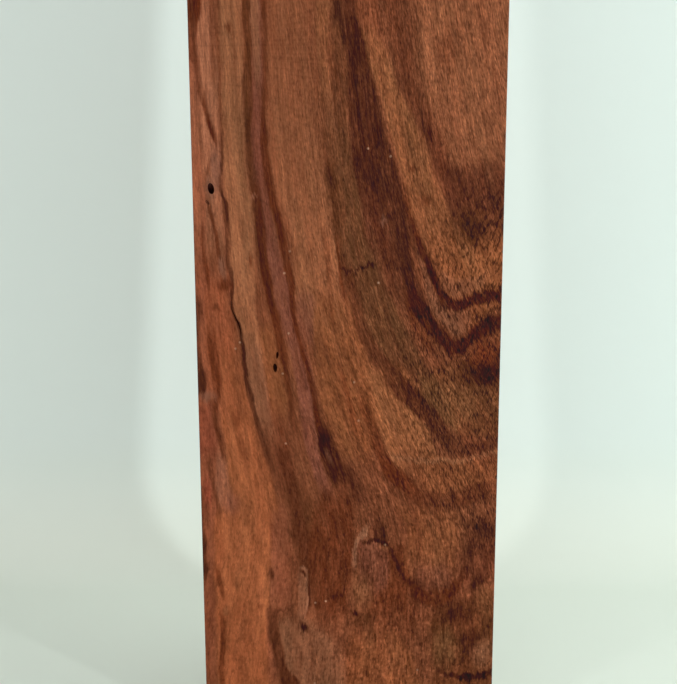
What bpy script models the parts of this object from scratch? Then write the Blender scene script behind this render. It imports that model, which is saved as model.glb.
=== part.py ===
# Granadillo board: one planed and sanded piece of wood, sawn square at both ends.
# Metres, +Z up along the grain. It stands on its foot end, with its best face towards -Y.

import math

import bmesh
import bpy
from mathutils import Matrix, Vector

MM = 0.001

# The board's sides
BOARD_WIDTH = 101.6 * MM
BOARD_THICKNESS = 25.4 * MM
BOARD_LENGTH = 304.8 * MM
ARRIS_ROUND = 0.5 * MM
ARRIS_SEGMENTS = 3
FRONT_Y = -BOARD_THICKNESS / 2

# A borer's tunnel, which the planed face cuts at a slant, so that its mouth is a long oval
TUNNEL_MOUTH = (-44.7 * MM, 189.4 * MM)
TUNNEL_DIAMETER = 2.1 * MM
TUNNEL_LENGTH = 9 * MM  # from the mouth, along the tunnel
TUNNEL_LEAD = 4 * MM  # how far its cutter stands out in front of the mouth
TUNNEL_SLANT = math.radians(54)  # away from straight in, and down
TUNNEL_LEAN = math.radians(-11)  # of the mouth, its lower end to the right
TUNNEL_SIDES = 20

# Small torn pits in the front face, in mm: centre x, centre z, width, length and depth, then the
# lean of the upper end to the right in degrees
TORN_PITS = {
    "pit_by_tunnel": (-46.0, 185.0, 1.1, 2.0, 0.5, -35),
    "pit_upper": (-23.9, 134.3, 0.9, 2.5, 0.9, 6),
    "pit_lower": (-24.7, 130.0, 1.5, 3.0, 1.2, -4),
}
PIT_RINGS = 10

# A drying crack in the front face, from its upper tip to its lower one: x and z in mm
CRACK_LINE = (
    (-38.9, 152.5),
    (-38.8, 149.8),
    (-37.7, 147.2),
    (-36.6, 145.0),
    (-36.0, 142.6),
    (-35.9, 140.6),
    (-35.5, 137.8),
)
CRACK_WIDTH = 0.45 * MM
CRACK_DEPTH = 0.9 * MM

WOOD_COLOUR = (0.19, 0.062, 0.03, 1)
WOOD_ROUGHNESS = 0.42


def clear_scene():
    for old in list(bpy.data.objects):
        bpy.data.objects.remove(old)


def new_collection(name, hidden=False):
    collection = bpy.data.collections.new(name)
    bpy.context.scene.collection.children.link(collection)
    collection.hide_render = hidden
    return collection


def move_to(obj, collection):
    for old in list(obj.users_collection):
        old.objects.unlink(obj)
    collection.objects.link(obj)


def bake_transform(obj):
    """Moves the object's place, turn and scale into its mesh."""
    obj.data.transform(obj.matrix_basis)
    obj.matrix_basis = Matrix.Identity(4)


def as_cutter(obj, name, collection):
    obj.name = name
    obj.display_type = "WIRE"
    obj.hide_render = True
    move_to(obj, collection)
    return obj


def wood_material():
    material = bpy.data.materials.new("granadillo")
    material.use_nodes = True
    shader = material.node_tree.nodes["Principled BSDF"]
    shader.inputs["Base Color"].default_value = WOOD_COLOUR
    shader.inputs["Roughness"].default_value = WOOD_ROUGHNESS
    shader.inputs["Metallic"].default_value = 0
    return material


def make_board(collection):
    bpy.ops.mesh.primitive_cube_add(size=1)
    board = bpy.context.object
    board.name = "board"
    board.scale = (BOARD_WIDTH, BOARD_THICKNESS, BOARD_LENGTH)
    board.location = (0, 0, BOARD_LENGTH / 2)
    bake_transform(board)
    board.data.materials.append(wood_material())
    eased = board.modifiers.new("eased arrises", "BEVEL")
    eased.width = ARRIS_ROUND
    eased.segments = ARRIS_SEGMENTS
    move_to(board, collection)
    return board


def make_tunnel(collection):
    """A slim cylinder that starts in front of the mouth and runs down into the wood."""
    x, z = TUNNEL_MOUTH
    middle_depth = (TUNNEL_LENGTH - TUNNEL_LEAD) / 2
    bpy.ops.mesh.primitive_cylinder_add(
        vertices=TUNNEL_SIDES,
        radius=TUNNEL_DIAMETER / 2,
        depth=TUNNEL_LENGTH + TUNNEL_LEAD,
    )
    tunnel = bpy.context.object
    into_wood = Matrix.Rotation(math.pi / 2, 4, "X")
    slant = Matrix.Rotation(-TUNNEL_SLANT, 4, "X")
    lean = Matrix.Rotation(TUNNEL_LEAN, 4, "Y")
    along = Matrix.Translation((0, 0, -middle_depth))
    tunnel.matrix_basis = Matrix.Translation((x, FRONT_Y, z)) @ lean @ slant @ into_wood @ along
    bake_transform(tunnel)
    return as_cutter(tunnel, "tunnel", collection)


def make_pit(name, pit, collection):
    """A long round-bottomed hollow: half of a stretched sphere below the front face."""
    x, z, width, length, depth, lean = pit
    bpy.ops.mesh.primitive_uv_sphere_add(segments=2 * PIT_RINGS, ring_count=PIT_RINGS, radius=1)
    hollow = bpy.context.object
    hollow.location = (x * MM, FRONT_Y, z * MM)
    hollow.rotation_euler = (0, math.radians(lean), 0)
    hollow.scale = (width * MM / 2, depth * MM, length * MM / 2)
    bake_transform(hollow)
    return as_cutter(hollow, name, collection)


def crack_outline():
    """Points round the crack: down its right side and back up its left, with a sharp tip at each end."""
    line = [Vector((x * MM, z * MM)) for x, z in CRACK_LINE]
    last = len(line) - 1
    right, left = [], []
    for step in range(1, last):
        along = (line[step + 1] - line[step - 1]).normalized()
        across = Vector((-along.y, along.x))
        half = CRACK_WIDTH / 2 * math.sin(math.pi * step / last)
        right.append(line[step] + across * half)
        left.append(line[step] - across * half)
    return [line[0], *right, line[last], *reversed(left)]


def make_crack(collection):
    """The outline as a thin prism, as deep behind the front face as it stands out in front."""
    mesh = bpy.data.meshes.new("drying_crack")
    shape = bmesh.new()
    mouth = [shape.verts.new((p.x, FRONT_Y - CRACK_DEPTH, p.y)) for p in crack_outline()]
    lid = shape.faces.new(mouth)
    deep = bmesh.ops.extrude_face_region(shape, geom=[lid])["geom"]
    moved = [v for v in deep if isinstance(v, bmesh.types.BMVert)]
    bmesh.ops.translate(shape, vec=(0, 2 * CRACK_DEPTH, 0), verts=moved)
    bmesh.ops.recalc_face_normals(shape, faces=shape.faces)
    shape.to_mesh(mesh)
    shape.free()
    crack = bpy.data.objects.new("drying_crack", mesh)
    collection.objects.link(crack)
    return as_cutter(crack, "drying_crack", collection)


def cut(board, cutter):
    boolean = board.modifiers.new(cutter.name, "BOOLEAN")
    boolean.operation = "DIFFERENCE"
    boolean.solver = "EXACT"
    boolean.object = cutter


def main():
    clear_scene()
    parts = new_collection("granadillo board")
    cutters = new_collection("cutters", hidden=True)
    board = make_board(parts)
    cut(board, make_tunnel(cutters))
    for name, pit in TORN_PITS.items():
        cut(board, make_pit(name, pit, cutters))
    cut(board, make_crack(cutters))


main()
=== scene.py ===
# Granadillo board: the finish of the one piece of wood, its stage and the camera.
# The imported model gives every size, in metres. Patterns are worked out in millimetres.

import math
from functools import partial

import bmesh
import bpy
from mathutils import Matrix, Vector


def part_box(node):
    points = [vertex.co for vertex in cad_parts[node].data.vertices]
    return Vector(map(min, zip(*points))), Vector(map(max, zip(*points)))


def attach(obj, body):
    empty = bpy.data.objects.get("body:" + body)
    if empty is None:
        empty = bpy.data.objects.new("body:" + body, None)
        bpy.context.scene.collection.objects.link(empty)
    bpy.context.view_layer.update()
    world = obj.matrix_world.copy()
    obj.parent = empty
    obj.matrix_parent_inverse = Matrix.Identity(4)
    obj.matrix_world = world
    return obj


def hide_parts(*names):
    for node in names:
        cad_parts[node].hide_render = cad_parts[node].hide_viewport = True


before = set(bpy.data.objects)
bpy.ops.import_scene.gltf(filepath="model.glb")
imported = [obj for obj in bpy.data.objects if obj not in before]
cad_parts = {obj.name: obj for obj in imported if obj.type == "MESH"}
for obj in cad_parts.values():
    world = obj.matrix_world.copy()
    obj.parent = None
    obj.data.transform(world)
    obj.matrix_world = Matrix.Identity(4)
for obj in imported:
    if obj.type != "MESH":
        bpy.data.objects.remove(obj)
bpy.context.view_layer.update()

boardLow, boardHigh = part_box("board")
mm = 0.001

# Camera

camera = {
    "place": (-0.0034, -0.3253, 0.1916),
    "lens": 50.0,
    "pitchDown": 9.6,  # degrees below level
    "roll": 0.17,
    "clipStart": 0.01,
}


def makeCamera(camera):
    data = bpy.data.cameras.new("photo camera")
    data.lens = camera["lens"]
    data.clip_start = camera["clipStart"]
    obj = bpy.data.objects.new("photo camera", data)
    turn = Matrix.Rotation(math.radians(90 - camera["pitchDown"]), 4, "X")
    roll = Matrix.Rotation(math.radians(-camera["roll"]), 4, "Z")
    obj.matrix_world = Matrix.Translation(camera["place"]) @ turn @ roll
    bpy.context.collection.objects.link(obj)
    bpy.context.scene.camera = obj


makeCamera(camera)
print("camera placed")


# Colours and nodes

def hexColour(code):  # sRGB hex to linear, with alpha 1
    parts = [int(code[i:i + 2], 16) / 255 for i in (0, 2, 4)]
    linear = [c / 12.92 if c <= 0.04045 else ((c + 0.055) / 1.055) ** 2.4 for c in parts]
    return (*linear, 1)


def addNode(tree, kind, links=(), **settings):
    # kind: the node's type without its ShaderNode. links: a list of the first inputs, or some by
    # name or number, each with a value, another node's first output, or a socket
    node = tree.nodes.new(kind if kind.startswith("NodeGroup") else "ShaderNode" + kind)
    for name, value in settings.items():
        setattr(node, name, value)
    for key, value in links.items() if isinstance(links, dict) else enumerate(links):
        if isinstance(value, bpy.types.Node):
            value = value.outputs[0]
        if isinstance(value, bpy.types.NodeSocket):
            tree.links.new(value, node.inputs[key])
        else:
            node.inputs[key].default_value = value
    return node


# The inputs and the output of a Mix node for colours
mixShare, mixBelow, mixAbove, mixResult = 0, 6, 7, 2


# Stage: a pale sweep behind the board, open from behind so that other views look through it. It is
# matt uncoated paper, which the eye sees as even soft light with no highlight

sweep = {
    "wallColour": "e8efee",
    "floorColour": "e8ece4",
    "warmTo": 0.07,  # height up to which the wall has some of the floor's warmer colour
    "roughness": 0.9,
    "specular": 0.1,
    "wallBehind": 0.146,  # from the board's middle
    "curve": 0.045,  # radius between floor and wall
    "lean": 4.2,  # degrees, of the wall above the curve towards the camera
    "leanTo": 0.35,  # height from which the wall is upright
    "reach": 3.0,  # of the floor to the front and to each side
    "height": 2.2,
    "steps": 40,
}


def makePaper(sweep):
    paper = bpy.data.materials.new("matt paper")
    paper.use_nodes = True
    tree = paper.node_tree
    shader = tree.nodes["Principled BSDF"]
    add = partial(addNode, tree)
    place = add("TexCoord").outputs["Object"]
    up = add("SeparateXYZ", [place]).outputs["Z"]
    toWall = add("MapRange", [up, 0, sweep["warmTo"]], interpolation_type="SMOOTHSTEP")
    ends = {mixBelow: hexColour(sweep["floorColour"]), mixAbove: hexColour(sweep["wallColour"])}
    colour = add("Mix", {mixShare: toWall, **ends}, data_type="RGBA")
    tree.links.new(colour.outputs[mixResult], shader.inputs["Base Color"])
    shader.inputs["Roughness"].default_value = sweep["roughness"]
    shader.inputs["Specular IOR Level"].default_value = sweep["specular"]
    fromBehind = add("NewGeometry").outputs["Backfacing"]
    through = add("BsdfTransparent")
    both = add("MixShader", [fromBehind, shader, through])
    tree.links.new(both.outputs[0], tree.nodes["Material Output"].inputs["Surface"])
    return paper


def makeSweep(sweep):
    r, back, reach = sweep["curve"], sweep["wallBehind"], sweep["reach"]
    profile = [(-reach, 0)]
    lean = math.radians(sweep["lean"])
    for step in range(sweep["steps"] + 1):
        turn = (math.pi / 2 + lean) * step / sweep["steps"]
        profile.append((back - r + r * math.sin(turn), r - r * math.cos(turn)))
    leant = profile[-1][0] - (sweep["leanTo"] - profile[-1][1]) * math.tan(lean)
    profile += [(leant, sweep["leanTo"]), (leant, sweep["height"])]
    shape = bmesh.new()
    rows = [[shape.verts.new((x, y, z)) for y, z in profile] for x in (-reach, reach)]
    for i in range(len(profile) - 1):
        shape.faces.new((rows[0][i], rows[1][i], rows[1][i + 1], rows[0][i + 1])).smooth = True
    mesh = bpy.data.meshes.new("sweep")
    shape.to_mesh(mesh)
    shape.free()
    obj = bpy.data.objects.new("sweep", mesh)
    bpy.context.collection.objects.link(obj)
    mesh.materials.append(makePaper(sweep))


makeSweep(sweep)

lights = {  # degrees to the right of the front and above level, metres, watts
    "right": {"azimuth": 51, "rise": 4, "distance": 1.3, "size": 0.07, "watts": 6.4, "colour": "f4fffb"},
    "left": {"azimuth": -51, "rise": 4, "distance": 1.3, "size": 0.07, "watts": 3.75, "colour": "fafff8"},
    "panel": {"azimuth": 84, "rise": 32, "distance": 1.0, "size": 0.7, "watts": 4.6, "colour": "f2fff6"},
}
aim = Vector((0, 0, 0.14))  # what the lights face
for name, light in lights.items():
    data = bpy.data.lights.new(name, "AREA")
    data.shape = "DISK"
    data.size = light["size"]
    data.energy = light["watts"]
    data.color = hexColour(light["colour"])[:3]
    azimuth, rise = math.radians(light["azimuth"]), math.radians(light["rise"])
    level = math.cos(rise)
    away = Vector((math.sin(azimuth) * level, -math.cos(azimuth) * level, math.sin(rise)))
    obj = bpy.data.objects.new(name, data)
    obj.location = aim + away * light["distance"]
    obj.rotation_euler = away.to_track_quat("Z", "Y").to_euler()
    obj.visible_camera = False
    bpy.context.collection.objects.link(obj)

room = {"colour": "f8f8f6", "strength": 0.52}
world = bpy.data.worlds.new("room")
world.use_nodes = True
background = world.node_tree.nodes["Background"]
background.inputs["Color"].default_value = hexColour(room["colour"])
background.inputs["Strength"].default_value = room["strength"]
bpy.context.scene.world = world
bpy.context.scene.view_settings.view_transform = "Standard"
print("stage and lights set")


# The board, with the same flaws as its CAD solid, cut finer

boardShape = {
    "arrisRound": 0.5 * mm,
    "arrisSegments": 4,
    "tunnelMouth": (-44.7 * mm, 189.4 * mm),
    "tunnelWidth": 2.1 * mm,
    "tunnelLength": 9 * mm,
    "tunnelLead": 4 * mm,  # of its cutter, in front of the mouth
    "tunnelSlant": 54,  # degrees away from straight in, and down
    "tunnelLean": -11,  # its lower end to the right
    "tunnelSides": 40,
    "pits": (  # mm: centre x, centre z, width, length, depth, lean in degrees
        (-46.0, 185.0, 1.1, 2.0, 0.5, -35),
        (-23.9, 134.3, 0.9, 2.5, 0.9, 6),
        (-24.7, 130.0, 1.5, 3.0, 1.2, -4),
    ),
    "pitSides": 32,
    "pitRings": 20,
    "crackLine": (  # mm: x, z down the crack
        (-38.9, 152.5), (-38.8, 149.8), (-37.7, 147.2), (-36.6, 145.0),
        (-36.0, 142.6), (-35.9, 140.6), (-35.5, 137.8),
    ),
    "crackWidth": 0.45 * mm,
    "crackDepth": 0.9 * mm,
    "crackTip": 0.25,  # of a step along its line, by which the crack stops short of closing
    # painted shade: faces down in a flaw are darkened by their depth, to stand in for the shade there
    "hollowShadeDepth": 1.0 * mm,  # depth at which a flaw is darkest
    "sawnRise": 0.9,  # a face whose normal rises or falls more than this is on a sawn end
}


def meshObject(name, shape):
    mesh = bpy.data.meshes.new(name)
    bmesh.ops.recalc_face_normals(shape, faces=shape.faces)
    shape.to_mesh(mesh)
    shape.free()
    obj = bpy.data.objects.new(name, mesh)
    bpy.context.collection.objects.link(obj)
    return obj


def boardBlank():
    shape = bmesh.new()
    bmesh.ops.create_cube(shape, size=1)
    place = Matrix.Translation((boardHigh + boardLow) / 2)
    place @= Matrix.Diagonal((*(boardHigh - boardLow), 1))
    bmesh.ops.transform(shape, matrix=place, verts=shape.verts)
    return meshObject("granadilloBoard", shape)


def tunnelCutter():  # a slim cylinder from in front of the mouth down into the wood
    length, lead = boardShape["tunnelLength"], boardShape["tunnelLead"]
    radius, sides = boardShape["tunnelWidth"] / 2, boardShape["tunnelSides"]
    shape = bmesh.new()
    bmesh.ops.create_cone(shape, cap_ends=True, segments=sides, radius1=radius, radius2=radius,
                          depth=length + lead)
    x, z = boardShape["tunnelMouth"]
    turns = Matrix.Rotation(math.radians(boardShape["tunnelLean"]), 4, "Y")
    turns @= Matrix.Rotation(math.radians(90 - boardShape["tunnelSlant"]), 4, "X")
    middle = Matrix.Translation((0, 0, (lead - length) / 2))
    place = Matrix.Translation((x, boardLow.y, z)) @ turns @ middle
    bmesh.ops.transform(shape, matrix=place, verts=shape.verts)
    return meshObject("tunnel cutter", shape)


def pitCutter(pit):
    x, z, width, length, depth, lean = pit
    sides, pitRings = boardShape["pitSides"], boardShape["pitRings"]
    shape = bmesh.new()
    bmesh.ops.create_uvsphere(shape, u_segments=sides, v_segments=pitRings, radius=1)
    turn = Matrix.Rotation(math.radians(lean), 4, "Y")
    size = Matrix.Diagonal((width * mm / 2, depth * mm, length * mm / 2, 1))
    place = Matrix.Translation((x * mm, boardLow.y, z * mm)) @ turn @ size
    bmesh.ops.transform(shape, matrix=place, verts=shape.verts)
    return meshObject("pit cutter", shape)


def crackCutter():  # a wedge, widest in the middle of its line and closed at its bottom
    line = [Vector((x * mm, z * mm)) for x, z in boardShape["crackLine"]]
    last = len(line) - 1
    tip = boardShape["crackTip"]
    shape = bmesh.new()
    rows = []
    for step, at in enumerate(line):
        along = (line[min(step + 1, last)] - line[max(step - 1, 0)]).normalized()
        reach = math.sin(math.pi * (step + tip) / (last + 2 * tip))
        half = boardShape["crackWidth"] / 2 * reach
        deep = boardShape["crackDepth"] * reach
        aside = Vector((-along.y, along.x)) * half
        right, left = at + aside, at - aside
        rows.append([shape.verts.new((c.x, boardLow.y + y, c.y)) for c, y in
                     ((left, -deep), (right, -deep), (right, 0), (at, deep), (left, 0))])
    for upper, lower in zip(rows, rows[1:]):
        for i in range(len(upper)):
            shape.faces.new((upper[i], upper[i - 1], lower[i - 1], lower[i]))
    shape.faces.new(rows[0])
    shape.faces.new(rows[-1])
    return meshObject("crack cutter", shape)


def makeBoard():
    board = boardBlank()
    bevel = board.modifiers.new("arrises", "BEVEL")
    bevel.width = boardShape["arrisRound"]
    bevel.segments = boardShape["arrisSegments"]
    cutters = [tunnelCutter(), *(pitCutter(pit) for pit in boardShape["pits"]), crackCutter()]
    for cutter in cutters:
        cut = board.modifiers.new(cutter.name, "BOOLEAN")
        cut.object = cutter
        cutter.hide_render = True
    return board, cutters


# Wood
# Granadillo, a dense oily rosewood-like timber, planed and then sanded fine. The eye gets a satin
# orange-brown ground with soft dark purple and olive bands, short pores, and glints of light off
# fibres that are painted highlights.

tones = {
    "ground": "77452f",
    "pinkBrown": "a2684e",
    "redBrown": "8b4f38",
    "warmRed": "8f4f35",
    "warmMaroon": "74392a",
    "tan": "925d41",
    "greyTan": "8e5c43",
    "greyPink": "925b45",
    "brightOrange": "9a5839",
    "tanBrown": "8a5334",
    "warmBrown": "8d573c",
    "orangeBrown": "7f4a2f",
    "olive": "66402a",
    "lightOlive": "7a4f34",
    "lightTan": "885539",
    "darkOlive": "57321f",
    "orange": "865236",
    "speckledOrange": "8b5335",
    "speckledOlive": "6c412a",
    "palePink": "8a543a",
    "mauve": "7b4838",
    "mauveBrown": "6a3d2d",
    "purple": "5d3323",
    "purpleBrown": "633725",
    "darkPurple": "4b291c",
    "nearBlack": "3b1d13",
    "maroon": "5a2d1b",
    "deepMaroon": "452012",
    "redMaroon": "65331f",
    "darkRed": "613320",
    "darkBrown": "562f1f",
    "greyLens": "825543",
    "greyBrown": "81523b",
    "paleRidge": "8c5c45",
    "brightArc": "874f33",
    "goldTan": "91593a",
    "pinkTan": "80503a",
}

# Streaks that run down the board, as its front shows them. Each has its tone and how far its left
# and right edges blur in mm, then rows: z, left and right edge in mm, and how strongly it shows.
downStreaks = (
    ("pinkBrown", 2, 2.5,
     (305, -60, -43, 0.8), (225, -60, -42.5, 0.8), (190, -60, -41, 0.6), (172, -60, -40, 0.3),
     (160, -60, -40, 0)),
    ("redBrown", 1, 2,
     (305, -60, -48, 0.7), (228, -60, -47.8, 0.7), (215, -60, -47.5, 0.6), (190, -60, -46.5, 0.75),
     (165, -60, -47, 0.6), (158, -60, -47, 0)),
    ("redBrown", 2, 3,
     (168, -60, -39, 0), (157, -60, -39, 0.85), (125, -60, -40, 0.85), (100, -60, -42.5, 0.8),
     (85, -60, -44, 0.7), (70, -60, -47, 0.5), (0, -60, -47.5, 0.45)),
    ("warmRed", 2, 3,
     (162, -47, -40, 0), (156, -47.5, -39.5, 0.8), (140, -48, -38, 0.8), (125, -47, -38, 0.7),
     (112, -46, -38, 0)),
    ("tan", 2, 2,
     (305, -41, -34, 0.9), (248, -40.5, -34, 0.9), (200, -40.5, -33.5, 0.9), (180, -39.3, -31.5, 0.95),
     (150, -38, -31, 0.95), (140, -36, -29.5, 0.8), (130, -34, -29, 0.5), (120, -32, -26.5, 0.2),
     (112, -30, -25, 0)),
    ("greyTan", 1.5, 2,
     (145, -36, -28, 0), (132, -35, -28.5, 0.85), (120, -33, -27, 0.85), (108, -30, -25, 0.4),
     (98, -28, -23, 0)),
    ("tanBrown", 2, 2,
     (148, -29, -24, 0), (140, -29.5, -23, 0.6), (128, -28, -21.5, 0.6), (115, -26, -20, 0.3),
     (105, -25, -20, 0)),
    ("brightOrange", 2.5, 2.5,
     (150, -44, -38, 0), (130, -43, -36, 0.6), (115, -43.5, -32.5, 0.8), (100, -42.5, -29, 0.9),
     (90, -43, -26, 0.95), (80, -45, -24.5, 1), (70, -46.5, -26.5, 1), (55, -46.5, -27.3, 1),
     (0, -46, -28, 1)),
    ("greyPink", 1.5, 2.5,
     (105, -44.5, -41, 0), (97, -45.5, -41.5, 0.7), (90, -45.5, -41, 0.8), (82, -44.5, -40, 0.6),
     (75, -44, -40, 0)),
    ("warmBrown", 4, 4,
     (305, -25, -12, 0.4), (250, -25, -12, 0.5), (200, -25, -9, 0.6), (175, -19, -3, 0.85),
     (150, -17, -2, 0.85), (135, -14, 0, 0)),
    ("orangeBrown", 4, 4,
     (165, -12, 4, 0), (150, -12, 4, 0.7), (130, -11, 8, 0.9), (115, -9, 10, 0.9), (100, -3, 8, 0.6),
     (90, -1, 6, 0)),
    ("olive", 5, 2.5,
     (305, -12, -2, 0.3), (248, -10.5, -2, 0.35), (225, -9.5, 0, 0.4), (205, -7.5, 1, 0.6),
     (190, -5.8, 4, 0.8), (178, -4, 7, 0.9), (165, -1.5, 11, 0.95), (150, 2.5, 16, 0.95),
     (138, 6, 22, 0.85), (128, 11, 27, 0.5), (118, 14, 30, 0)),
    ("lightTan", 1.5, 1.5,
     (305, -10, -7, 0.6), (248, -10, -6.5, 0.7), (225, -9, -6, 0.5), (210, -8, -6, 0)),
    ("darkOlive", 1.2, 2,
     (202, -7.6, -6, 0), (195, -7.2, -4.8, 0.7), (188, -6.3, -3.6, 0.7), (180, -5.3, -2.8, 0.6),
     (171, -4.3, -1.8, 0.6), (163, -3, -0.6, 0.4), (156, -1, 1, 0)),
    ("darkBrown", 1.5, 2,
     (170, -3.5, -1.5, 0), (163, -2, 0.8, 0.5), (155, 0, 3.5, 0.7), (147, 1.6, 5.6, 0.7),
     (140, 3.5, 8.5, 0.75), (134, 6.5, 12.3, 0.85), (129, 9, 16.8, 0.9), (123, 13, 20.8, 0.85),
     (116, 17.5, 26, 0.7), (109, 23.5, 31.5, 0.5), (103, 29, 35, 0)),
    ("palePink", 1.5, 3,
     (305, 19, 90, 0.9), (248, 20, 90, 0.9), (225, 20.5, 90, 0.9), (212, 24, 90, 0.9), (200, 30, 90, 0.75),
     (194, 34, 90, 0.3), (187, 36, 90, 0)),
    ("purpleBrown", 2.5, 4,
     (305, 10, 21, 0.5), (248, 11, 21.5, 0.6), (240, 12.5, 22, 0.7), (230, 14.5, 22.5, 0.75),
     (221, 16.5, 24, 0.8), (212, 20.5, 27.5, 0.85), (203, 24.5, 31.5, 0.9), (196, 27.5, 34.5, 0.9),
     (190, 30, 39, 0.7), (185, 32, 44, 0.3), (180, 33, 45, 0)),
    ("purple", 3, 4,
     (203, 36, 90, 0), (196, 33, 90, 0.5), (190, 31.5, 90, 0.85), (185, 31.5, 90, 0.9), (181, 33, 90, 0.6),
     (176, 36, 90, 0.3), (171, 37, 90, 0)),
    ("speckledOrange", 3, 3,
     (182, 28, 90, 0), (174, 26, 90, 0.6), (165, 28, 90, 0.9), (158, 29, 90, 0.9), (154, 31, 90, 0.3),
     (149, 32, 90, 0)),
    ("orange", 1.5, 2.5,
     (244, 2, 6, 0), (238, 3.5, 9, 0.5), (231, 5.8, 12.5, 0.8), (222, 9, 15.8, 0.95), (212, 12.2, 20.5, 1),
     (203, 14.8, 24.8, 1), (193, 17, 28, 1), (184, 19.3, 32, 1), (175, 22.3, 36, 0.8), (167, 25, 42, 0.5),
     (160, 28, 44, 0)),
    ("goldTan", 3, 3,
     (134, 6, 16, 0), (128, 7, 20, 0.6), (118, 8, 23, 0.8), (108, 10, 27, 0.8), (100, 13, 30, 0.6),
     (92, 18, 32, 0.2), (86, 20, 33, 0)),
    ("mauve", 2, 2,
     (305, -31, -27, 0.4), (240, -31, -27, 0.5), (222, -31.3, -27.2, 0.8), (205, -31, -27.4, 0.9),
     (190, -30, -26.4, 0.85), (175, -28, -24, 0.85), (158, -25.5, -20, 0.85), (140, -21, -16, 0.85),
     (130, -18.5, -13, 0.85), (115, -16.5, -11, 0.85), (100, -14, -9.5, 0.85), (88, -10.5, -6, 0.5),
     (78, -9, -4, 0)),
    ("mauve", 2, 2,
     (159, -16, -13, 0), (151, -17.5, -11.5, 0.6), (142, -16, -11.5, 0.6), (134, -14, -11, 0)),
    ("redMaroon", 1.5, 1.5,
     (180, -8.5, -7, 0), (170, -8.3, -6.5, 0.4), (158, -7.2, -5.4, 0.45), (148, -6, -4.5, 0.4),
     (139, -5, -4, 0)),
    ("redMaroon", 0.7, 0.8,
     (177, -4.3, -3.3, 0), (171, -4.1, -3.1, 0.6), (163, -3.4, -2.4, 0.7), (156, -2.7, -1.6, 0.7),
     (150, -2, -1, 0)),
    ("redMaroon", 1.2, 1.5,
     (135, -4, -2.5, 0), (127, -2.8, -1, 0.5), (118, -0.6, 1.4, 0.5), (110, 1.4, 3.4, 0.5), (102, 3, 5, 0)),
    ("darkPurple", 2, 1.5,
     (305, -8, -1, 0.8), (248, -5.5, 1.8, 0.8), (240, -3, 3.6, 0.9), (230, -0.8, 6.2, 0.95),
     (220, -0.4, 8.8, 0.95), (212, 0, 10.6, 0.95), (205, 0.2, 12.8, 0.95), (197, 1, 15, 0.95),
     (187, 3.5, 17.5, 0.9), (178, 5.5, 19, 0.65), (168, 8.5, 19.5, 0.5), (158, 11, 21, 0.4),
     (150, 14, 23, 0.25), (142, 17, 25, 0)),
    ("purple", 3, 3,
     (192, 4, 14, 0), (184, 4, 16, 0.7), (175, 5, 17, 0.8), (165, 9, 18, 0.6), (155, 12, 20, 0.3),
     (148, 14, 21, 0)),
    ("darkPurple", 2, 2,
     (195, 13, 18, 0), (185, 14.2, 18.8, 0.5), (175, 15.3, 20, 0.8), (168, 16.2, 20.6, 0.9),
     (160, 17.8, 22, 0.95), (155, 19.5, 24.5, 0.95), (150, 21.3, 26.8, 0.9), (146, 22.8, 29, 0.7),
     (140, 26, 33, 0)),
    ("maroon", 1.5, 2,
     (158, 18, 20, 0), (150, 19, 22, 0.6), (143, 21.5, 25, 0.6), (137, 25, 28, 0.5), (131, 28, 31, 0)),
    ("deepMaroon", 1.6, 1.6,
     (197, 16.5, 18, 0), (190, 17.2, 19.2, 0.5), (180, 19.3, 21.4, 0.7), (175, 20.8, 23.1, 0.8),
     (170, 22.6, 25.2, 0.85), (163, 25.2, 28.4, 0.9), (157, 27.8, 31, 0.9), (153, 30, 34, 0.7),
     (150, 32, 36, 0)),
    ("pinkTan", 1.2, 1.5,
     (173, 21, 22.3, 0), (165, 23, 25, 0.6), (158, 25, 27.3, 0.8), (152, 27.3, 29.8, 0.8),
     (147.5, 29, 33, 0.6), (143, 31.5, 35, 0)),
    ("redMaroon", 1.5, 2,
     (125, 3, 5.5, 0), (117, 3.5, 6.5, 0.5), (108, 6.5, 10, 0.6), (100, 9, 13.5, 0.7), (94, 11.5, 18, 0.8),
     (88, 16, 23, 0.6), (82, 20, 28, 0)),
    ("nearBlack", 0.9, 1.5,
     (117, -11, -10, 0), (113, -10.8, -9.2, 0.6), (108, -10.7, -6.8, 0.8), (103, -10.2, -4.8, 0.9),
     (98, -9.2, -2.8, 0.9), (93, -7.5, -1.5, 0.85), (89, -5.5, -0.5, 0.5), (84, -4, 0, 0)),
    ("purple", 1.5, 2,
     (101, -3, 1, 0), (94, -1.5, 2.5, 0.8), (88, 0.5, 5, 0.85), (83, 2.5, 6.5, 0.7), (77, 5, 8, 0)),
    ("darkOlive", 3, 3,
     (94, -23, -17, 0), (86, -22, -13, 0.5), (78, -21, -10, 0.7), (68, -19, -9.5, 0.7), (58, -17, -8, 0.5),
     (48, -14, -8, 0)),
    ("darkBrown", 1.5, 2,
     (107, -26.5, -23.5, 0), (100, -25.3, -20.3, 0.8), (95, -23.5, -19, 0.85), (90, -22, -17.5, 0.85),
     (85, -21, -16.5, 0.8), (78, -20.5, -15.5, 0.75), (70, -19.5, -13.5, 0.8), (64, -17, -11.8, 0.9),
     (59, -16, -11.5, 0.5), (52, -15, -11, 0)),
    ("redBrown", 1.5, 3,
     (86, -27, -21, 0), (76, -27, -20.5, 0.8), (55, -27, -21, 0.85), (46, -27.5, -21, 0.7),
     (40, -29, -26, 0.6), (0, -28, -25, 0.6)),
    ("darkRed", 3, 3,
     (93, -9, 1, 0), (84, -10, 2, 0.6), (74, -13, 2, 0.85), (60, -14, 1, 0.9), (50, -13, 0, 0.9),
     (42, -12, 0, 0.6), (33, -10, 0, 0)),
    ("darkRed", 3, 3,
     (73, 11, 20, 0), (66, 12, 20, 0.7), (58, 10, 21, 0.9), (50, 8, 24, 0.9), (42, 6, 24, 0.7),
     (34, 8, 24, 0.4), (26, 10, 22, 0)),
    ("mauveBrown", 1.5, 2,
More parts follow.
